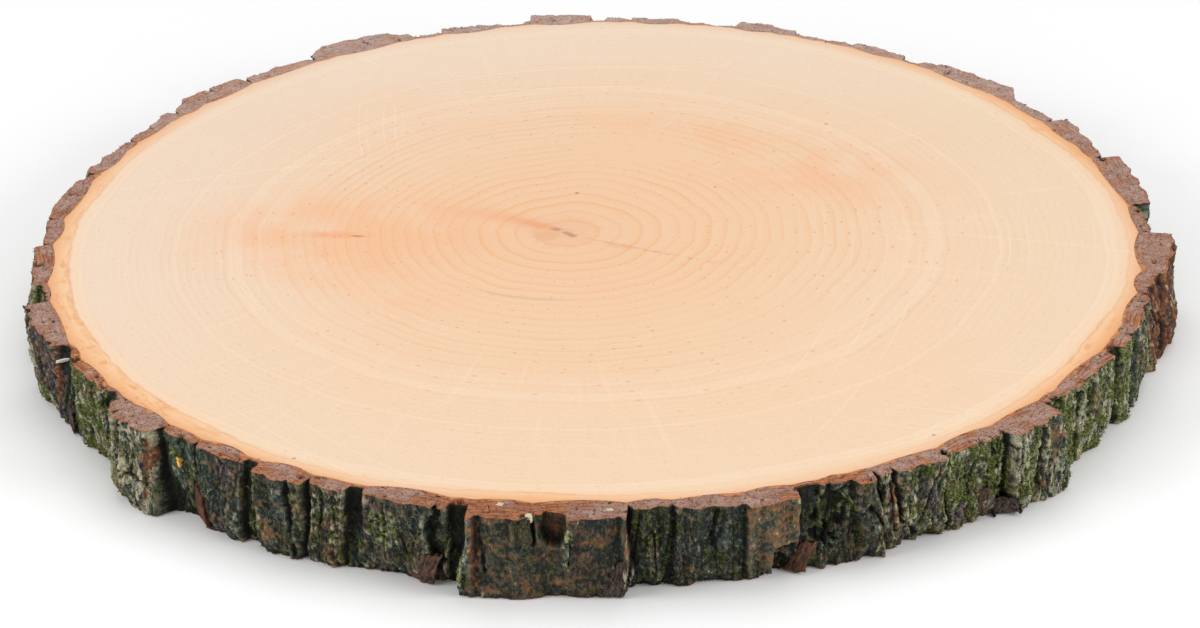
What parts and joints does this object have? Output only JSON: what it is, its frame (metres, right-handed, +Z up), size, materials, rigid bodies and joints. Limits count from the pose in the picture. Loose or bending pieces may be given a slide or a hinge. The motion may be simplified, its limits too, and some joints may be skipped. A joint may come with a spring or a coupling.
{
  "type": "wood slice",
  "caption": "Round slice sawn across a tree trunk, with pale growth-ringed faces and its rough bark left on the rim; lies flat as a serving board or display stand.",
  "frame": {"origin": "under the middle of the slice's outline, on the plane that it lies on", "axes": "+Z up through the slice's thickness; +Y away from the viewer in the picture; +X to the picture's right"},
  "size_m": [0.3314, 0.3308, 0.024],
  "materials": {
    "wood": "sanded smooth, unvarnished, pale cream with faint growth rings and an orange inner-bark edge",
    "bark": "rough cracked bark plates, dark grey-green outside with moss and rust-brown breaks, mauve-brown where sawn"
  },
  "bodies": {
    "root": {"wood": "wood", "bark": "bark"}
  },
  "joints": []
}
